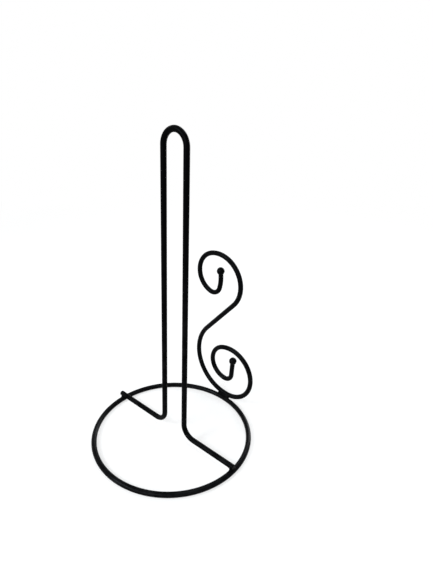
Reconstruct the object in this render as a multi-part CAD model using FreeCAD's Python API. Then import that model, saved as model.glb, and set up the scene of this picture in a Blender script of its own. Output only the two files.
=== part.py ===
"""Free-standing holder for a roll of paper towels, bent and welded from round steel rod.

A ring lies on the table. A tall narrow loop stands at its centre and takes the roll; its two feet are bent
outwards and cross over the ring. An S-shaped scroll with two volutes stands on the back of the ring and
keeps the roll from unwinding. The rods are welded where they meet.

Millimetres. The origin is on the table at the ring's centre, +Z is up, +X runs along the feet of the loop,
and the scroll stands on the +Y side.
"""
import FreeCAD, Part
import math
import os
from FreeCAD import Vector

# Rod stock
rod = 5.5  # diameter of the round rod
root_gap = 0.2  # weld metal between two rods where they meet
end_rounding = 0.8  # softened edge on a cut rod end

# Base ring
ring_radius = 81.5  # to the centre of the rod
ring_seam = 250.0  # degrees round from +X where the rod's ends meet, ground flush

# Centre loop
loop_top = 312.5  # table to the top of the arch
loop_offset = 2.1  # the loop stands this far right of the ring's centre
loop_setback = 0.5  # and this far back
arch_radius = 13.2  # to the centre of the rod
post_lean = 0.22  # each post leans this many degrees towards the other
foot_bend_radius = 13.0  # to the centre of the rod
left_foot_overhang = 4.0  # from the middle of the crossing to the cut end
right_foot_overhang = 1.0

# Side scroll, from its lowest point outwards; radii to the centre of the rod, turns in degrees
scroll_offset = 6.0  # its lowest point lies this far right of the ring's centre
seat_angle = 45.0  # it leans on the ring's shoulder, this far above the horizontal
back_radius = 46.8
back_turn = 131.1
straight_run = 55.7
upper_outer_radius = 32.0
upper_outer_turn = 149.4
upper_middle_radius = 23.5
upper_middle_turn = 145.0
upper_inner_radius = 10.2
upper_tip_radius = 44.5  # the rod runs out in a slack curl
upper_tip_turn = 20.5
upper_stem = 1.13  # last straight, to the neck of the ball
upper_stem_lean = 6.4  # degrees left of upright
lower_outer_radius = 31.6
lower_outer_turn = 200.7
lower_middle_radius = 20.7
lower_middle_turn = 154.5
lower_inner_radius = 9.2
lower_stem = 16.129
lower_stem_lean = -2.8
ball_diameter = 8.7  # round ends of the scroll
ball_neck = 0.7  # fillet between a ball and its stem

# Weld beads
foot_weld_reach = 4.6  # sideways from the middle of the bead
foot_weld_rise = 1.9  # up and down from the middle of the bead
foot_weld_edge = 1.8  # rounding of the bead's edge
foot_weld_inset = 0.9  # the bead's middle lies this far inside the crossing
scroll_weld_length = 20.0
scroll_weld_throat = 2.1  # from the middle of the joint out to the bead's face
scroll_weld_edge = 1.0  # rounding of the bead's ends
scroll_weld_shift = 2.0  # the bead's middle lies this far left of the joint

# What follows from those sizes
seat = rod + root_gap  # between the centres of two rods that are welded together
ring_height = rod / 2.0
foot_height = ring_height + seat
crossing = math.sqrt(ring_radius**2 - loop_setback**2)  # a foot of the loop crosses the ring this far out
left_foot_end = -crossing - left_foot_overhang
right_foot_end = crossing + right_foot_overhang
neck_drop = math.sqrt((ball_diameter / 2.0) ** 2 - (rod / 2.0) ** 2)  # from a ball's centre to its neck


def bent_path(start, heading, moves):
    """A wire in a plane of constant Y. A move is a straight length, or a (radius, turn) pair.

    Headings and turns are in degrees, from +X towards +Z.
    """
    edges = []
    point = start
    angle = math.radians(heading)
    for move in moves:
        along = Vector(math.cos(angle), 0, math.sin(angle))
        if isinstance(move, tuple):
            radius, turn = move[0], math.radians(move[1])
            side = math.copysign(1.0, turn)
            centre = point + Vector(-along.z, 0, along.x) * (side * radius)

            def on_bend(share):
                swung = angle + share * turn
                return centre + Vector(math.sin(swung), 0, -math.cos(swung)) * (side * radius)

            edges.append(Part.Arc(point, on_bend(0.5), on_bend(1.0)).toShape())
            point = on_bend(1.0)
            angle += turn
        else:
            reached = point + along * move
            edges.append(Part.LineSegment(point, reached).toShape())
            point = reached
    return Part.Wire(edges)


def rod_along(path):
    """The round rod swept along a path."""
    first = path.OrderedEdges[0]
    begin = first.valueAt(first.FirstParameter)
    ahead = first.tangentAt(first.FirstParameter)
    section = Part.Face(Part.Wire(Part.makeCircle(rod / 2.0, begin, ahead)))
    return path.makePipe(section)


def round_off(shape, radius, middles):
    """Rounds the circular edges that lie about these points."""
    rims = [edge for edge in shape.Edges if is_near(edge.CenterOfMass, middles)]
    return shape.makeFillet(radius, rims)


def is_near(point, places):
    """Whether a point is one of these places."""
    return min(point.distanceToPoint(place) for place in places) < 0.01


def make_ring():
    """One rod rolled to a full circle."""
    ring = Part.makeTorus(ring_radius, rod / 2.0, Vector(0, 0, ring_height))
    ring.rotate(Vector(0, 0, 0), Vector(0, 0, 1), ring_seam)
    return ring


def make_loop():
    """The roll post: one rod bent to a hairpin with both feet turned outwards."""
    lean = math.radians(post_lean)
    arch_centre = loop_top - rod / 2.0 - arch_radius
    post_head = arch_centre + arch_radius * math.sin(lean)
    bend_turn = 90.0 - post_lean
    bend_rise = foot_bend_radius * (1.0 - math.sin(lean))
    post_length = (post_head - foot_height - bend_rise) / math.cos(lean)
    post_spread = arch_radius * math.cos(lean) + post_length * math.sin(lean)
    bend_start = post_spread + foot_bend_radius * math.cos(lean)
    path = bent_path(
        Vector(left_foot_end, loop_setback, foot_height),
        0.0,
        [
            loop_offset - bend_start - left_foot_end,
            (foot_bend_radius, bend_turn),
            post_length,
            (arch_radius, -2.0 * bend_turn),
            post_length,
            (foot_bend_radius, bend_turn),
            right_foot_end - loop_offset - bend_start,
        ],
    )
    loop = rod_along(path)
    corners = path.OrderedVertexes
    return round_off(loop, end_rounding, [corners[0].Point, corners[-1].Point])


def scroll_paths():
    """The scroll's two arms, as paths up from its lowest point, seated on the ring's shoulder."""
    shoulder = Vector(0, math.cos(math.radians(seat_angle)), math.sin(math.radians(seat_angle)))
    lowest = Vector(scroll_offset, ring_radius, ring_height) + shoulder * seat
    left_heading = 180.0 - back_turn
    upper_left = 90.0 + upper_stem_lean + 360.0
    upper_turns = upper_outer_turn + upper_middle_turn + upper_tip_turn
    upper_inner_turn = upper_left - left_heading - upper_turns
    lower_left = 90.0 + lower_stem_lean + 360.0
    lower_inner_turn = lower_left - lower_outer_turn - lower_middle_turn
    upper = bent_path(
        lowest,
        180.0,
        [
            (back_radius, -back_turn),
            straight_run,
            (upper_outer_radius, upper_outer_turn),
            (upper_middle_radius, upper_middle_turn),
            (upper_inner_radius, upper_inner_turn),
            (upper_tip_radius, upper_tip_turn),
            upper_stem + neck_drop,
        ],
    )
    lower = bent_path(
        lowest,
        0.0,
        [
            (lower_outer_radius, lower_outer_turn),
            (lower_middle_radius, lower_middle_turn),
            (lower_inner_radius, lower_inner_turn),
            lower_stem + neck_drop,
        ],
    )
    ring_line = Part.Wire(Part.makeCircle(ring_radius, Vector(0, 0, ring_height)))
    both = Part.Compound([upper, lower])
    for _ in range(4):
        shift = shoulder * (seat - both.distToShape(ring_line)[0])
        both.translate(shift)
        upper.translate(shift)
        lower.translate(shift)
    nearest = both.distToShape(ring_line)[1][0]
    return upper, lower, (nearest[0] + nearest[1]) * 0.5


def make_scroll(upper, lower):
    """The roll's side stop: one rod bent to an S of two volutes, with a ball on each end."""
    whole = Part.Wire(Part.sortEdges(upper.Edges + lower.Edges)[0])
    scroll = rod_along(whole)
    necks = []
    for path in (upper, lower):
        stem = path.OrderedEdges[-1]
        tip = stem.valueAt(stem.LastParameter)
        necks.append(tip - stem.tangentAt(stem.LastParameter) * neck_drop)
        scroll = scroll.fuse(Part.makeSphere(ball_diameter / 2.0, tip, Vector(0, 1, 0)))
    return round_off(scroll, ball_neck, necks)


def make_bead(begin, axis, length, radius, edge, rods):
    """Weld metal round a joint: a drum with rounded rims, cut back to the rods that it joins."""
    drum = Part.makeCylinder(radius, length, begin, axis)
    rims = [rim for rim in drum.Edges if isinstance(rim.Curve, Part.Circle)]
    return drum.makeFillet(edge, rims).cut(rods)


def make_foot_bead(side, ring, loop):
    """The bead where a foot of the loop crosses over the ring."""
    middle = Vector(side * (crossing - foot_weld_inset), loop_setback, ring_height + seat / 2.0)
    begin = middle - Vector(0, 0, foot_weld_rise)
    up = Vector(0, 0, 1)
    return make_bead(begin, up, 2.0 * foot_weld_rise, foot_weld_reach, foot_weld_edge, [ring, loop])


def make_scroll_bead(joint, ring, scroll):
    """The bead that runs along the ring where the scroll leans on its shoulder."""
    begin = joint - Vector(scroll_weld_shift + scroll_weld_length / 2.0, 0, 0)
    along = Vector(1, 0, 0)
    return make_bead(begin, along, scroll_weld_length, scroll_weld_throat, scroll_weld_edge, [ring, scroll])


base_ring = make_ring()
centre_loop = make_loop()
upper_arm, lower_arm, scroll_joint = scroll_paths()
side_scroll = make_scroll(upper_arm, lower_arm)

pieces = {
    "base_ring": base_ring,
    "centre_loop": centre_loop,
    "side_scroll": side_scroll,
    "left_foot_weld": make_foot_bead(-1.0, base_ring, centre_loop),
    "right_foot_weld": make_foot_bead(1.0, base_ring, centre_loop),
    "scroll_weld": make_scroll_bead(scroll_joint, base_ring, side_scroll),
}

os.makedirs("parts", exist_ok=True)
for name, shape in pieces.items():
    shape.exportStep(f"parts/{name}.step")
    box = shape.BoundBox
    print(
        f"{name}: {len(shape.Solids)} solid, valid {shape.isValid()}, {shape.Volume:.1f} mm3,"
        f" x {box.XMin:.2f} to {box.XMax:.2f}, y {box.YMin:.2f} to {box.YMax:.2f},"
        f" z {box.ZMin:.2f} to {box.ZMax:.2f}"
    )
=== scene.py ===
"""A black countertop holder for one roll of paper towels, bent and welded from round steel rod.

Metres. The origin is on the table at the ring's centre, +Z is up, +X runs along the feet of the roll post,
and the side scroll stands at the back, on the +Y side.
"""
import math

import bpy
from mathutils import Matrix, Vector


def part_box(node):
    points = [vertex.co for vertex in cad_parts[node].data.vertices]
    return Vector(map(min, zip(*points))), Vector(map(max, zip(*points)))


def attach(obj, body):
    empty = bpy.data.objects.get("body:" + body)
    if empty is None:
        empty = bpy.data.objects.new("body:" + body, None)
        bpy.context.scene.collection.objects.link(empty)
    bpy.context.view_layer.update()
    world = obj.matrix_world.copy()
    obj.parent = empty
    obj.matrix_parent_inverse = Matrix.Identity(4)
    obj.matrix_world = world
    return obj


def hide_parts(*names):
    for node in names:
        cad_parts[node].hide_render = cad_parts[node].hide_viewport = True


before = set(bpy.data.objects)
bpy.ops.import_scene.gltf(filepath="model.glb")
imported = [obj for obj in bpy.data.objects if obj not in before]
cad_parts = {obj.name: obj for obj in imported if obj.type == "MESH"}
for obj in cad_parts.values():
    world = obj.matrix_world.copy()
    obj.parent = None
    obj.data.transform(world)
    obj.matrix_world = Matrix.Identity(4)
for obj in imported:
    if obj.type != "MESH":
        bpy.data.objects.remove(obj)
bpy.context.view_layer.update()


# The base ring: one 5.5 mm steel rod rolled to a circle, its ends butt-welded and ground flush.
# It lies flat on the table and carries everything else. The whole holder is powder-coated satin black
# after welding, so the rod shows the coating's fine peel and its slightly uneven thickness.
MM = 0.001
rod_radius = 2.75 * MM
ring_radius = 81.5 * MM  # to the middle of the rod
ring_seam_angle = 250.0  # degrees round from +X
ring_seam_dressing = 0.05 * MM  # how much the grinder took off at the seam
ring_knots = 24
knot_steps = 8  # cross-sections from one knot to the next
rod_sides = 32
coat_waviness = 0.03 * MM  # how far the coating's thickness varies
coat_waves_per_metre = 150.0
coat_black = (0.0006, 0.0006, 0.0007)
# lighter black of the dust patches; they grow denser towards the bottom, and that lightening low down is
# painted light standing in for light thrown up from the white table
coat_dust_and_painted_light_black = (0.0080, 0.0081, 0.0088)
coat_tint = (0.84, 0.90, 1.0)  # its reflections are slightly cool
coat_peel_depth = 0.02 * MM
peel_per_metre = 1300.0
slow_wave_depth = 0.12 * MM
slow_waves_per_metre = 230.0
sheen_patches_per_metre = 55.0
glossiest_patch = -0.05  # roughness against the coat's own
dullest_patch = 0.07
dust_patches_per_metre = 90.0
dust_begins = 0.42  # level of the dust pattern where dust begins to show
dust_full = 0.75


def arc_handle(radius, turn):
    """How far a Bezier handle reaches on an arc of this turn."""
    return radius * math.tan(abs(turn) / 4.0) * 4.0 / 3.0


def ring_path():
    """Knots round the ring: place, handle back, handle ahead, rod radius."""
    knots = []
    step = math.tau / ring_knots
    reach = arc_handle(ring_radius, step)
    seam = math.radians(ring_seam_angle)
    for number in range(ring_knots):
        angle = seam + number * step
        place = Vector((ring_radius * math.cos(angle), ring_radius * math.sin(angle), rod_radius))
        ahead = Vector((-math.sin(angle), math.cos(angle), 0.0)) * reach
        dressed = ring_seam_dressing if number == 0 else 0.0
        knots.append((place, place - ahead, place + ahead, rod_radius - dressed))
    return knots


def lay_path(name, knots, closed):
    """A Bezier path through the knots; a handle of None is a straight run."""
    curve = bpy.data.curves.new(name, "CURVE")
    curve.dimensions = "3D"
    spline = curve.splines.new("BEZIER")
    spline.bezier_points.add(len(knots) - 1)
    spline.use_cyclic_u = closed
    spline.resolution_u = knot_steps
    for point, (place, back, ahead, radius) in zip(spline.bezier_points, knots):
        point.co = place
        point.radius = radius
        point.handle_left_type = "VECTOR" if back is None else "FREE"
        point.handle_right_type = "VECTOR" if ahead is None else "FREE"
        if back is not None:
            point.handle_left = back
        if ahead is not None:
            point.handle_right = ahead
    path = bpy.data.objects.new(name, curve)
    bpy.context.scene.collection.objects.link(path)
    return path


def new_tree(name, inputs):
    """A Geometry Nodes tree with these named inputs, and its group input and output nodes."""
    tree = bpy.data.node_groups.new(name, "GeometryNodeTree")
    tree.interface.new_socket("Geometry", in_out="INPUT", socket_type="NodeSocketGeometry")
    for label, kind in inputs:
        tree.interface.new_socket(label, in_out="INPUT", socket_type=kind)
    tree.interface.new_socket("Geometry", in_out="OUTPUT", socket_type="NodeSocketGeometry")
    return tree, tree.nodes.new("NodeGroupInput"), tree.nodes.new("NodeGroupOutput")


def node(tree, kind, links=None, **settings):
    """A node with its settings, and its inputs linked or set by name or number."""
    made = tree.nodes.new(kind)
    for setting, value in settings.items():
        setattr(made, setting, value)
    for key, source in (links or {}).items():
        if isinstance(source, bpy.types.NodeSocket):
            tree.links.new(source, made.inputs[key])
        else:
            made.inputs[key].default_value = source
    return made


def coated_rod_tree():
    """Sweeps a round rod along its path, with the coating's unevenness pressed inwards."""
    tree, given, result = new_tree("coated rod", [
        ("Sides", "NodeSocketInt"),
        ("Waviness", "NodeSocketFloat"),
        ("Waves per metre", "NodeSocketFloat"),
        ("Coating", "NodeSocketMaterial"),
    ])
    radius = node(tree, "GeometryNodeInputRadius")
    round_section = node(tree, "GeometryNodeCurvePrimitiveCircle", {
        "Resolution": given.outputs["Sides"],
        "Radius": 1.0,
    })
    swept = node(tree, "GeometryNodeCurveToMesh", {
        "Curve": given.outputs["Geometry"],
        "Profile Curve": round_section.outputs["Curve"],
        "Scale": radius.outputs["Radius"],
        "Fill Caps": True,
    })
    waves = node(tree, "ShaderNodeTexNoise", {
        "Vector": node(tree, "GeometryNodeInputPosition").outputs["Position"],
        "Scale": given.outputs["Waves per metre"],
        "Detail": 1.0,
    })
    depth = node(tree, "ShaderNodeMath", {
        0: waves.outputs["Fac"],
        1: given.outputs["Waviness"],
    }, operation="MULTIPLY")
    inwards = node(tree, "ShaderNodeMath", {0: depth.outputs[0], 1: -1.0}, operation="MULTIPLY")
    pressed = node(tree, "ShaderNodeVectorMath", {
        0: node(tree, "GeometryNodeInputNormal").outputs["Normal"],
        "Scale": inwards.outputs[0],
    }, operation="SCALE")
    uneven = node(tree, "GeometryNodeSetPosition", {
        "Geometry": swept.outputs["Mesh"],
        "Offset": pressed.outputs["Vector"],
    })
    smooth = node(tree, "GeometryNodeSetShadeSmooth", {"Geometry": uneven.outputs["Geometry"]})
    real = node(tree, "GeometryNodeRealizeInstances", {"Geometry": smooth.outputs["Geometry"]})
    coated = node(tree, "GeometryNodeSetMaterial", {
        "Geometry": real.outputs["Geometry"],
        "Material": given.outputs["Coating"],
    })
    tree.links.new(coated.outputs["Geometry"], result.inputs["Geometry"])
    return tree


def grow(name, carrier, tree, values):
    """Runs a tree on a carrier object and keeps what it gives as a plain mesh piece."""
    modifier = carrier.modifiers.new(tree.name, "NODES")
    modifier.node_group = tree
    for item in tree.interface.items_tree:
        if item.in_out == "INPUT" and item.name in values:
            modifier[item.identifier] = values[item.name]
    carrier.update_tag()
    evaluated = carrier.evaluated_get(bpy.context.evaluated_depsgraph_get())
    mesh = bpy.data.meshes.new_from_object(evaluated)
    carrier.modifiers.remove(modifier)
    mesh.name = name
    mesh.materials.clear()
    mesh.materials.append(values["Coating"])
    mesh.polygons.foreach_set("material_index", [0] * len(mesh.polygons))
    piece = bpy.data.objects.new(name, mesh)
    bpy.context.scene.collection.objects.link(piece)
    return piece


def black_coat(name, black, dust_and_painted_light, dust_and_painted_light_top, gloss, roughness, peel_depth):
    """Satin black powder coat: orange peel, slow waves, an uneven sheen, and lighter dust patches low down
    whose lightening towards the bottom is painted light from the table below.
    """
    coat = bpy.data.materials.new(name)
    coat.use_nodes = True
    tree = coat.node_tree
    shader = tree.nodes["Principled BSDF"]
    shader.inputs["Metallic"].default_value = 0.0
    shader.inputs["Specular IOR Level"].default_value = gloss
    shader.inputs["Specular Tint"].default_value = (*coat_tint, 1.0)
    where = node(tree, "ShaderNodeTexCoord").outputs["Object"]
    dust = node(tree, "ShaderNodeTexNoise", {
        "Vector": where,
        "Scale": dust_patches_per_metre,
        "Detail": 5.0,
        "Roughness": 0.6,
    })
    dust_share = node(tree, "ShaderNodeMapRange", {
        "Value": dust.outputs["Fac"],
        "From Min": dust_begins,
        "From Max": dust_full,
    })
    # Painted light: the lighter patches are faded in towards the bottom of each piece, standing in for light
    # thrown up from the white table as well as for dust.
    height = node(tree, "ShaderNodeSeparateXYZ", {0: where}).outputs["Z"]
    low_dust_and_painted_light = node(tree, "ShaderNodeMapRange", {
        "Value": height,
        "From Max": dust_and_painted_light_top,
        "To Min": 1.0,
        "To Max": 0.0,
    })
    dust_and_painted_light_share = node(tree, "ShaderNodeMath", {
        0: dust_share.outputs["Result"],
        1: low_dust_and_painted_light.outputs["Result"],
    }, operation="MULTIPLY")
    colour = node(tree, "ShaderNodeMix", {
        "Factor": dust_and_painted_light_share.outputs[0],
        6: (*black, 1.0),
        7: (*dust_and_painted_light, 1.0),
    }, data_type="RGBA")
    tree.links.new(colour.outputs[2], shader.inputs["Base Color"])
    sheen_patches = node(tree, "ShaderNodeTexNoise", {
        "Vector": where,
        "Scale": sheen_patches_per_metre,
        "Detail": 3.0,
    })
    sheen = node(tree, "ShaderNodeMapRange", {
        "Value": sheen_patches.outputs["Fac"],
        "From Min": 0.3,
        "From Max": 0.7,
        "To Min": roughness + glossiest_patch,
        "To Max": roughness + dullest_patch,
    })
    tree.links.new(sheen.outputs["Result"], shader.inputs["Roughness"])
    slow_waves = node(tree, "ShaderNodeTexNoise", {
        "Vector": where,
        "Scale": slow_waves_per_metre,
        "Detail": 1.0,
    })
    slow_bump = node(tree, "ShaderNodeBump", {
        "Height": slow_waves.outputs["Fac"],
        "Strength": 1.0,
        "Distance": slow_wave_depth,
    })
    peel = node(tree, "ShaderNodeTexNoise", {"Vector": where, "Scale": peel_per_metre, "Detail": 2.0})
    peel_bump = node(tree, "ShaderNodeBump", {
        "Height": peel.outputs["Fac"],
        "Strength": 1.0,
        "Distance": peel_depth,
        "Normal": slow_bump.outputs["Normal"],
    })
    tree.links.new(peel_bump.outputs["Normal"], shader.inputs["Normal"])
    return coat


coated_rod = coated_rod_tree()
ring_coat = black_coat(
    "satin black ring coat",
    coat_black,
    coat_dust_and_painted_light_black,
    dust_and_painted_light_top=0.25,
    gloss=0.036,
    roughness=0.27,
    peel_depth=coat_peel_depth,
)
ring_line = lay_path("ring line", ring_path(), True)
ring = grow("ring_rod", ring_line, coated_rod, {
    "Sides": rod_sides,
    "Waviness": coat_waviness,
    "Waves per metre": coat_waves_per_metre,
    "Coating": ring_coat,
})
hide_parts("base_ring")
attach(ring, "root")


# The roll post: one rod bent to a tall hairpin, with both feet turned outwards and laid over the ring.
# The left foot runs a little past the ring, the right one ends on it. The cut ends are filed round.
loop_top = 312.5 * MM
loop_offset = 2.1 * MM  # to the right of the ring's centre
loop_setback = 0.5 * MM  # behind the ring's centre
arch_radius = 13.2 * MM
post_lean = 0.22  # degrees, each post towards the other
foot_bend_radius = 13.0 * MM
weld_gap = 0.2 * MM  # weld metal between two rods where they meet
rod_spacing = 2.0 * rod_radius + weld_gap  # between the middles of two welded rods
foot_height = rod_radius + rod_spacing  # to the middle of the rod
left_foot_overhang = 4.0 * MM  # from the crossing to the cut end
right_foot_overhang = 1.0 * MM
cut_rounding = 0.8 * MM
cut_stations = 7  # round the filed edge
cut_station_step = 0.15  # share of the edge's quarter turn
cut_crown = 0.003 * MM  # the cut face stands this far proud at its middle
straight_step = 4.0 * MM  # at most, between knots on a straight run
bend_step = 20.0  # degrees, at most, between knots on a bend


def bend_rod(start, heading, moves):
    """Knots along a rod bent in a plane of constant Y.

    A move is a straight length, or a (radius, turn) pair. Angles are degrees from +X towards +Z.
    Returns the knots, the last place and the last heading.
    """
    knots = [[start, None, None, rod_radius]]
    place = start
    angle = math.radians(heading)
    for move in moves:
        if isinstance(move, tuple):
            radius, turn = move[0], math.radians(move[1])
            side = math.copysign(1.0, turn)
            centre = place + Vector((-math.sin(angle), 0.0, math.cos(angle))) * (side * radius)
            count = math.ceil(abs(move[1]) / bend_step)
            reach = arc_handle(radius, turn / count)
            for _ in range(count):
                knots[-1][2] = place + Vector((math.cos(angle), 0.0, math.sin(angle))) * reach
                angle += turn / count
                place = centre + Vector((math.sin(angle), 0.0, -math.cos(angle))) * (side * radius)
                back = place - Vector((math.cos(angle), 0.0, math.sin(angle))) * reach
                knots.append([place, back, None, rod_radius])
        else:
            along = Vector((math.cos(angle), 0.0, math.sin(angle)))
            count = math.ceil(move / straight_step)
            for _ in range(count):
                place = place + along * (move / count)
                knots.append([place, None, None, rod_radius])
    return knots, place, math.degrees(angle)


def end_stations(place, heading, stations):
    """Knots beyond the last place, each a (distance, rod radius) pair."""
    along = Vector((math.cos(math.radians(heading)), 0.0, math.sin(math.radians(heading))))
    return [[place + along * distance, None, None, radius] for distance, radius in stations]


def cut_end():
    """Stations of a filed rod end, measured back from its face."""
    flat = rod_radius - cut_rounding
    stations = []
    for number in range(cut_stations):
        turned = number * cut_station_step * math.pi / 2.0
        stations.append((cut_rounding * (math.sin(turned) - 1.0), flat + cut_rounding * math.cos(turned)))
    stations.append((-cut_crown, flat))
    stations.append((-cut_crown / 2.0, flat * 0.6))
    stations.append((0.0, flat * 0.15))
    return stations


lean = math.radians(post_lean)
ring_crossing = math.sqrt(ring_radius**2 - loop_setback**2)
left_foot_end = -ring_crossing - left_foot_overhang
right_foot_end = ring_crossing + right_foot_overhang
arch_centre = loop_top - rod_radius - arch_radius
post_head = arch_centre + arch_radius * math.sin(lean)
bend_rise = foot_bend_radius * (1.0 - math.sin(lean))
post_length = (post_head - foot_height - bend_rise) / math.cos(lean)
bend_start = arch_radius * math.cos(lean) + post_length * math.sin(lean) + foot_bend_radius * math.cos(lean)
left_face = Vector((left_foot_end, loop_setback, foot_height))
right_face = Vector((right_foot_end, loop_setback, foot_height))
post_knots = bend_rod(
    left_face + Vector((cut_rounding, 0.0, 0.0)),
    0.0,
    [
        loop_offset - bend_start - left_foot_end - cut_rounding,
        (foot_bend_radius, 90.0 - post_lean),
        post_length,
        (arch_radius, -2.0 * (90.0 - post_lean)),
        post_length,
        (foot_bend_radius, 90.0 - post_lean),
        right_foot_end - loop_offset - bend_start - cut_rounding,
    ],
)[0]
post_knots = (
    end_stations(left_face, 180.0, cut_end())[::-1]
    + post_knots[1:-1]
    + end_stations(right_face, 0.0, cut_end())
)
post_coat = black_coat(
    "satin black post coat",
    coat_black,
    coat_dust_and_painted_light_black,
    dust_and_painted_light_top=0.26,
    gloss=0.017,
    roughness=0.29,
    peel_depth=coat_peel_depth,
)
post_line = lay_path("post line", post_knots, False)
post = grow("roll_post", post_line, coated_rod, {
    "Sides": rod_sides,
    "Waviness": coat_waviness,
    "Waves per metre": coat_waves_per_metre,
    "Coating": post_coat,
})
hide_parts("centre_loop")
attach(post, "root")


# The side scroll: one rod bent cold round formers to an S of two volutes, with a ball on each end.
# It leans on the ring's outer shoulder, where it is welded, and stops the roll from unwinding.
scroll_offset = 6.0 * MM  # its lowest point lies this far right of the ring's centre
back_radius = 46.8 * MM
back_turn = 131.1
straight_run = 55.7 * MM
upper_outer_radius = 32.0 * MM
upper_outer_turn = 149.4
upper_middle_radius = 23.5 * MM
upper_middle_turn = 145.0
upper_inner_radius = 10.2 * MM
upper_inner_turn = 92.6
upper_tip_radius = 44.5 * MM
upper_tip_turn = 20.5
upper_stem_length = 4.5 * MM  # last straight, to the centre of the ball
lower_outer_radius = 31.6 * MM
lower_outer_turn = 200.7
lower_middle_radius = 20.7 * MM
lower_middle_turn = 154.5
lower_inner_radius = 9.2 * MM
lower_inner_turn = 92.0
lower_stem_length = 19.5 * MM
ball_radius = 4.35 * MM
ball_neck = 0.7 * MM  # fillet between a ball and its stem
ball_stations = 24
ball_pole = 2.0  # degrees short of the ball's pole where the last station lies
neck_stations = 4
neck_reach = math.sqrt((ball_radius + ball_neck) ** 2 - (rod_radius + ball_neck) ** 2)
upper_moves = [
    (back_radius, -back_turn),
    straight_run,
    (upper_outer_radius, upper_outer_turn),
    (upper_middle_radius, upper_middle_turn),
    (upper_inner_radius, upper_inner_turn),
    (upper_tip_radius, upper_tip_turn),
    upper_stem_length,
]
lower_moves = [
    (lower_outer_radius, lower_outer_turn),
    (lower_middle_radius, lower_middle_turn),
    (lower_inner_radius, lower_inner_turn),
    lower_stem_length,
]


def ball_end():
    """Stations of a ball on a rod's end, measured from the ball's centre."""
    stations = []
    neck_end = neck_reach * ball_radius / (ball_radius + ball_neck)
    for number in range(neck_stations):
        distance = -neck_reach + (neck_reach - neck_end) * number / neck_stations
        sunk = math.sqrt(ball_neck**2 - (distance + neck_reach) ** 2)
        stations.append((distance, rod_radius + ball_neck - sunk))
    first = math.acos(-neck_end / ball_radius)
    last = math.radians(ball_pole)
    for number in range(ball_stations + 1):
        around = first + (last - first) * number / ball_stations
        stations.append((ball_radius * math.cos(around), ball_radius * math.sin(around)))
    return stations


scroll_low, scroll_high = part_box("side_scroll")
scroll_start = Vector((scroll_offset, (scroll_low[1] + scroll_high[1]) / 2.0, scroll_low[2] + rod_radius))
upper_end, upper_heading = bend_rod(scroll_start, 180.0, upper_moves)[1:]
lower_end, lower_heading = bend_rod(scroll_start, 0.0, lower_moves)[1:]
back_up = [(move[0], -move[1]) if isinstance(move, tuple) else move for move in upper_moves[::-1]]
back_up[0] -= neck_reach
down_again = list(lower_moves)
down_again[-1] -= neck_reach
upper_stem = math.radians(upper_heading)
scroll_knots = bend_rod(
    upper_end - Vector((math.cos(upper_stem), 0.0, math.sin(upper_stem))) * neck_reach,
    upper_heading + 180.0,
    back_up + down_again,
)[0]
scroll_knots = (
    end_stations(upper_end, upper_heading, ball_end())[::-1]
    + scroll_knots[1:-1]
    + end_stations(lower_end, lower_heading, ball_end())
)
scroll_coat = black_coat(
    "satin black scroll coat",
    coat_black,
    coat_dust_and_painted_light_black,
    dust_and_painted_light_top=0.20,
    gloss=0.028,
    roughness=0.27,
    peel_depth=coat_peel_depth,
)
scroll_line = lay_path("scroll line", scroll_knots, False)
scroll = grow("scroll_rod", scroll_line, coated_rod, {
    "Sides": rod_sides,
    "Waviness": coat_waviness,
    "Waves per metre": coat_waves_per_metre,
    "Coating": scroll_coat,
})
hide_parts("side_scroll")
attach(scroll, "root")


# Weld beads at the feet: each foot is welded to the ring where it crosses over it. The metal fills the
# corners between the two rods, and was coated with them.
foot_fill = 5.5 * MM  # how soon the two rods' surfaces blend into the bead
foot_bead_inset = 0.9 * MM  # its middle lies this far inside the crossing
foot_bead_half_size = (7.0 * MM, 7.0 * MM, 5.0 * MM)
foot_bead_lumpiness = 0.5
foot_line_start = 60.0 * MM  # from the ring's centre; a bead needs only the foot's outer stretch
bead_grain = 0.2 * MM  # cell of the grid that its surface is worked out on
bead_sinking = 0.06 * MM  # the bead's skin lies this far inside the rods beside it
bead_penetration = 0.6 * MM  # how deep the metal has fused into the rods
bead_lumps_per_metre = 420.0
bead_taper_start = 0.45  # share of the half size from which the fill dies away
bead_rim = 0.97  # share of the half size where the metal ends
bead_rim_slope = 4.0 * MM
least_blend = 0.01 * MM
weld_black = (0.0006, 0.0006, 0.0007)
# lighter black of the weld's dust patches; low down it is also painted light standing in for light thrown up
# from the white table
weld_dust_and_painted_light_black = (0.0060, 0.0060, 0.0065)


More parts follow.
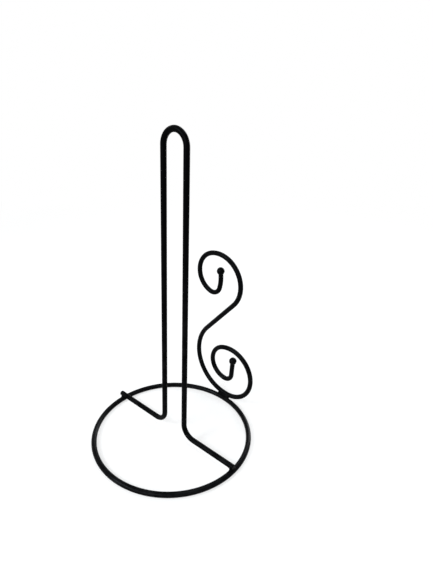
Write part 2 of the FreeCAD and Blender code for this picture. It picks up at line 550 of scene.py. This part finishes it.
def weld_bead_tree():
    """Fills the corners between two rods with weld metal, lumpy and rippled along X."""
    tree, given, result = new_tree("weld bead", [
        ("First rod", "NodeSocketObject"),
        ("Second rod", "NodeSocketObject"),
        ("Rod radius", "NodeSocketFloat"),
        ("Fill", "NodeSocketFloat"),
        ("Sinking", "NodeSocketFloat"),
        ("Penetration", "NodeSocketFloat"),
        ("Middle", "NodeSocketVector"),
        ("Half size", "NodeSocketVector"),
        ("Cells X", "NodeSocketInt"),
        ("Cells Y", "NodeSocketInt"),
        ("Cells Z", "NodeSocketInt"),
        ("Grain", "NodeSocketFloat"),
        ("Ripple share", "NodeSocketFloat"),
        ("Ripples per metre", "NodeSocketFloat"),
        ("Lumpiness", "NodeSocketFloat"),
        ("Coating", "NodeSocketMaterial"),
    ])
    place = node(tree, "GeometryNodeInputPosition").outputs["Position"]

    def math_node(operation, *values):
        return node(tree, "ShaderNodeMath", dict(enumerate(values)), operation=operation).outputs[0]

    def vector_node(operation, *values):
        made = node(tree, "ShaderNodeVectorMath", dict(enumerate(values)), operation=operation)
        return made.outputs["Value" if operation == "LENGTH" else "Vector"]

    def rod_skin(label):
        line = node(tree, "GeometryNodeObjectInfo", {"Object": given.outputs[label]})
        wire = node(tree, "GeometryNodeCurveToMesh", {"Curve": line.outputs["Geometry"]})
        near = node(tree, "GeometryNodeProximity", {
            0: wire.outputs["Mesh"],
            "Sample Position": place,
        }, target_element="EDGES")
        return math_node("SUBTRACT", near.outputs["Distance"], given.outputs["Rod radius"])

    from_middle = vector_node("SUBTRACT", place, given.outputs["Middle"])
    reach = vector_node("LENGTH", vector_node("DIVIDE", from_middle, given.outputs["Half size"]))
    along = node(tree, "ShaderNodeSeparateXYZ", {0: place}).outputs["X"]
    lumps = node(tree, "ShaderNodeTexNoise", {
        "Vector": place,
        "Scale": bead_lumps_per_metre,
        "Detail": 2.0,
    }).outputs["Fac"]
    wave_place = math_node("ADD", math_node("MULTIPLY", along, given.outputs["Ripples per metre"]), lumps)
    wave = math_node("SINE", math_node("MULTIPLY", wave_place, math.tau))
    rippled = math_node("MULTIPLY_ADD", wave, given.outputs["Ripple share"], 1.0)
    lumpy = math_node("MULTIPLY_ADD", math_node("SUBTRACT", lumps, 0.5), given.outputs["Lumpiness"], rippled)
    taper = node(tree, "ShaderNodeMapRange", {
        "Value": reach,
        "From Min": bead_taper_start,
        "From Max": 1.0,
        "To Min": 1.0,
        "To Max": 0.0,
    }, interpolation_type="SMOOTHSTEP").outputs["Result"]
    fill = math_node("MULTIPLY", math_node("MULTIPLY", given.outputs["Fill"], lumpy), taper)
    first_skin = rod_skin("First rod")
    second_skin = rod_skin("Second rod")
    nearest_skin = math_node("MINIMUM", first_skin, second_skin)
    blended_skin = math_node("SMOOTH_MIN", first_skin, second_skin, math_node("ADD", fill, least_blend))
    face = math_node("ADD", blended_skin, given.outputs["Sinking"])
    thickness = math_node("SUBTRACT", nearest_skin, blended_skin)
    toe = math_node("SUBTRACT", math_node("MULTIPLY", given.outputs["Sinking"], 0.5), thickness)
    root = math_node("SUBTRACT", math_node("MULTIPLY", given.outputs["Penetration"], -1.0), nearest_skin)
    rim = math_node("MULTIPLY", math_node("SUBTRACT", reach, bead_rim), bead_rim_slope)
    bounds = math_node("MAXIMUM", math_node("MAXIMUM", toe, root), rim)
    outside = math_node("DIVIDE", math_node("MAXIMUM", face, bounds), given.outputs["Grain"])
    metal = node(tree, "GeometryNodeVolumeCube", {
        "Density": math_node("SUBTRACT", 1.0, outside),
        "Background": 0.0,
        "Min": vector_node("SUBTRACT", given.outputs["Middle"], given.outputs["Half size"]),
        "Max": vector_node("ADD", given.outputs["Middle"], given.outputs["Half size"]),
        "Resolution X": given.outputs["Cells X"],
        "Resolution Y": given.outputs["Cells Y"],
        "Resolution Z": given.outputs["Cells Z"],
    })
    bead = node(tree, "GeometryNodeVolumeToMesh", {
        "Volume": metal.outputs["Volume"],
        "Threshold": 1.0,
        "Adaptivity": 0.0,
    }, resolution_mode="GRID")
    smooth = node(tree, "GeometryNodeSetShadeSmooth", {"Geometry": bead.outputs["Mesh"]})
    real = node(tree, "GeometryNodeRealizeInstances", {"Geometry": smooth.outputs["Geometry"]})
    coated = node(tree, "GeometryNodeSetMaterial", {
        "Geometry": real.outputs["Geometry"],
        "Material": given.outputs["Coating"],
    })
    tree.links.new(coated.outputs["Geometry"], result.inputs["Geometry"])
    return tree


def lay_bead(name, lines, middle, half_size, fill, ripple_share, ripples_per_metre, lumpiness, coat):
    """A weld bead between two rods, as a piece."""
    carrier = bpy.data.objects.new(name + " carrier", bpy.data.meshes.new(name + " carrier"))
    bpy.context.scene.collection.objects.link(carrier)
    cells = [math.ceil(2.0 * size / bead_grain) for size in half_size]
    bead = grow(name, carrier, weld_bead, {
        "First rod": lines[0],
        "Second rod": lines[1],
        "Rod radius": rod_radius,
        "Fill": fill,
        "Sinking": bead_sinking,
        "Penetration": bead_penetration,
        "Middle": middle,
        "Half size": half_size,
        "Cells X": cells[0],
        "Cells Y": cells[1],
        "Cells Z": cells[2],
        "Grain": bead_grain,
        "Ripple share": ripple_share,
        "Ripples per metre": ripples_per_metre,
        "Lumpiness": lumpiness,
        "Coating": coat,
    })
    bpy.data.objects.remove(carrier)
    return bead


weld_bead = weld_bead_tree()
weld_coat = black_coat(
    "satin black weld coat",
    weld_black,
    weld_dust_and_painted_light_black,
    dust_and_painted_light_top=0.25,
    gloss=0.022,
    roughness=0.36,
    peel_depth=0.03 * MM,
)
foot_lines = []
for side, face, node_name in ((-1.0, left_face, "left_foot_weld"), (1.0, right_face, "right_foot_weld")):
    foot_line = lay_path(node_name + " line", [
        [Vector((side * foot_line_start, loop_setback, foot_height)), None, None, rod_radius],
        [face - Vector((side * rod_radius, 0.0, 0.0)), None, None, rod_radius],
    ], False)
    foot_lines.append(foot_line)
    foot_bead = lay_bead(
        node_name + "_bead",
        (ring_line, foot_line),
        (side * (ring_crossing - foot_bead_inset), loop_setback, rod_radius + rod_spacing / 2.0),
        foot_bead_half_size,
        foot_fill,
        ripple_share=0.0,
        ripples_per_metre=0.0,
        lumpiness=foot_bead_lumpiness,
        coat=weld_coat,
    )
    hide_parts(node_name)
    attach(foot_bead, "root")


# The bead where the scroll leans on the ring: one run along the notch between the two rods, drawn from
# the right to the left, with the welder's ripples across it.
scroll_fill = 5.0 * MM
scroll_bead_middle = (1.8 * MM, 83.5 * MM, 4.75 * MM)  # in the notch, left of the scroll's lowest point
scroll_bead_half_size = (13.0 * MM, 4.8 * MM, 4.5 * MM)
scroll_bead_pitch = 1.3 * MM  # from one ripple to the next
scroll_bead_ripple = 0.10  # share by which a ripple changes the fill
scroll_bead_lumpiness = 0.45

scroll_bead = lay_bead(
    "scroll_weld_bead",
    (ring_line, scroll_line),
    scroll_bead_middle,
    scroll_bead_half_size,
    scroll_fill,
    ripple_share=scroll_bead_ripple,
    ripples_per_metre=1.0 / scroll_bead_pitch,
    lumpiness=scroll_bead_lumpiness,
    coat=weld_coat,
)
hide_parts("scroll_weld")
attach(scroll_bead, "root")

for line in (ring_line, post_line, scroll_line, *foot_lines):
    bpy.data.objects.remove(line)


# The table under it, plain and white: it takes the holder's soft shadow, and away from the holder it
# goes over into the white of the room.
table_size = 6.0
table_paint = 0.8
table_near = 0.35  # inside this radius the table is lit by the lamps
table_far = 1.1  # from here on it is as white as the room
table_glow_near = 0.62  # own light of the near part, seen by the camera and in reflections
table_dark_near = 0.5  # how much of its paint that light stands in for
table_mesh = bpy.data.meshes.new("table")
table_mesh.from_pydata(
    [(x * table_size, y * table_size, 0.0) for x, y in ((-1, -1), (1, -1), (1, 1), (-1, 1))],
    [],
    [(0, 1, 2, 3)],
)
table = bpy.data.objects.new("table", table_mesh)
bpy.context.scene.collection.objects.link(table)
table_white = bpy.data.materials.new("white table")
table_white.use_nodes = True
table_tree = table_white.node_tree
table_shader = table_tree.nodes["Principled BSDF"]
table_shader.inputs["Roughness"].default_value = 0.9
table_shader.inputs["Specular IOR Level"].default_value = 0.0
table_shader.inputs["Emission Color"].default_value = (1.0, 1.0, 1.0, 1.0)
table_place = node(table_tree, "ShaderNodeTexCoord").outputs["Object"]
table_reach = node(table_tree, "ShaderNodeVectorMath", {0: table_place}, operation="LENGTH").outputs["Value"]
table_fade = node(table_tree, "ShaderNodeMapRange", {
    "Value": table_reach,
    "From Min": table_near,
    "From Max": table_far,
}, interpolation_type="SMOOTHSTEP").outputs["Result"]
table_rays = node(table_tree, "ShaderNodeLightPath")
table_seen = node(table_tree, "ShaderNodeMath", {
    0: table_rays.outputs["Is Camera Ray"],
    1: table_rays.outputs["Is Glossy Ray"],
}, operation="MAXIMUM").outputs[0]
table_shown = node(table_tree, "ShaderNodeMath", {
    0: table_seen,
    1: table_rays.outputs["Is Transmission Ray"],
}, operation="MAXIMUM").outputs[0]
table_glow = node(table_tree, "ShaderNodeMapRange", {
    "Value": table_fade,
    "To Min": table_glow_near,
    "To Max": 1.0,
}).outputs["Result"]
table_dark = node(table_tree, "ShaderNodeMapRange", {
    "Value": table_fade,
    "To Min": table_dark_near,
    "To Max": 1.0,
}).outputs["Result"]
table_lift = node(table_tree, "ShaderNodeMath", {0: table_shown, 1: table_glow}, operation="MULTIPLY")
table_tree.links.new(table_lift.outputs[0], table_shader.inputs["Emission Strength"])
table_unpainted = node(table_tree, "ShaderNodeMath", {0: table_shown, 1: table_dark}, operation="MULTIPLY")
table_colour = node(table_tree, "ShaderNodeMix", {
    "Factor": table_unpainted.outputs[0],
    6: (table_paint, table_paint, table_paint, 1.0),
    7: (0.0, 0.0, 0.0, 1.0),
}, data_type="RGBA")
table_tree.links.new(table_colour.outputs[2], table_shader.inputs["Base Color"])
table_mesh.materials.append(table_white)


# The room and its lamps: the room is plain white to the camera and in reflections, and lights the holder
# only faintly. Six square soft boxes stand round the holder and give the rods their long soft highlights.
room_fill = 0.15  # strength of the room as a light
lamp_aim = Vector((0.0, 0.0, 0.12))
lamp_distance = 1.6
lamp_size = 0.6

world = bpy.data.worlds.new("white room")
bpy.context.scene.world = world
world.use_nodes = True
room = world.node_tree
room.nodes.clear()
room_rays = node(room, "ShaderNodeLightPath")
room_seen = node(room, "ShaderNodeMath", {
    0: room_rays.outputs["Is Camera Ray"],
    1: room_rays.outputs["Is Glossy Ray"],
}, operation="MAXIMUM")
room_white = node(room, "ShaderNodeMath", {
    0: room_seen.outputs[0],
    1: room_rays.outputs["Is Transmission Ray"],
}, operation="MAXIMUM")
room_level = node(room, "ShaderNodeMapRange", {
    "Value": room_white.outputs[0],
    "To Min": room_fill,
    "To Max": 1.0,
})
room_light = node(room, "ShaderNodeBackground", {
    "Color": (1.0, 1.0, 1.0, 1.0),
    "Strength": room_level.outputs["Result"],
})
node(room, "ShaderNodeOutputWorld", {"Surface": room_light.outputs["Background"]})


def soft_lamp(name, direction, power, colour):
    """A square soft box in this direction from the holder, turned towards it."""
    lamp = bpy.data.lights.new(name, "AREA")
    lamp.shape = "SQUARE"
    lamp.size = lamp_size
    lamp.energy = power
    lamp.color = colour
    box = bpy.data.objects.new(name, lamp)
    towards = Vector(direction).normalized()
    turned = towards.to_track_quat("Z", "Y").to_matrix().to_4x4()
    box.matrix_world = Matrix.Translation(lamp_aim + towards * lamp_distance) @ turned
    bpy.context.scene.collection.objects.link(box)


soft_lamp("front left soft box", (-0.32, -0.75, 0.57), 18.0, (0.90, 0.97, 1.0))
soft_lamp("front right soft box", (0.31, -0.76, 0.57), 8.5, (1.0, 0.98, 1.0))
soft_lamp("low front soft box", (0.0, -0.98, 0.17), 6.5, (1.0, 0.99, 0.97))
soft_lamp("low back soft box", (0.0, 0.98, 0.17), 11.5, (1.0, 0.99, 0.97))
soft_lamp("back left soft box", (-0.31, 0.76, 0.57), 8.5, (0.96, 0.98, 1.0))
soft_lamp("overhead soft box", (0.2, 0.1, 0.97), 6.0, (0.9, 0.97, 1.0))


# The camera stands where the photograph was taken from: in front and to the right of the holder, a little
# above the top of the post, looking down and held slightly askew.
camera_place = Vector((0.26313, -0.25952, 0.33863))
camera_heading = -0.68311  # radians from +Y towards +X
camera_dip = math.radians(24.254)
camera_roll = 0.0450  # radians
camera_lens = 27.464  # mm, for a picture whose longer side is 36 mm
ahead = Vector((
    math.sin(camera_heading) * math.cos(camera_dip),
    math.cos(camera_heading) * math.cos(camera_dip),
    -math.sin(camera_dip),
))
level_right = Vector((math.cos(camera_heading), -math.sin(camera_heading), 0.0))
level_up = level_right.cross(ahead)
right = level_right * math.cos(camera_roll) + level_up * math.sin(camera_roll)
up = level_up * math.cos(camera_roll) - level_right * math.sin(camera_roll)
lens = bpy.data.cameras.new("photo camera")
lens.lens = camera_lens
lens.sensor_width = 36.0
lens.clip_start = 0.01
lens.clip_end = 20.0
camera = bpy.data.objects.new("photo camera", lens)
camera.matrix_world = Matrix((
    (right.x, up.x, -ahead.x, camera_place.x),
    (right.y, up.y, -ahead.y, camera_place.y),
    (right.z, up.z, -ahead.z, camera_place.z),
    (0.0, 0.0, 0.0, 1.0),
))
bpy.context.scene.collection.objects.link(camera)
bpy.context.scene.camera = camera
bpy.context.scene.view_settings.view_transform = "Standard"
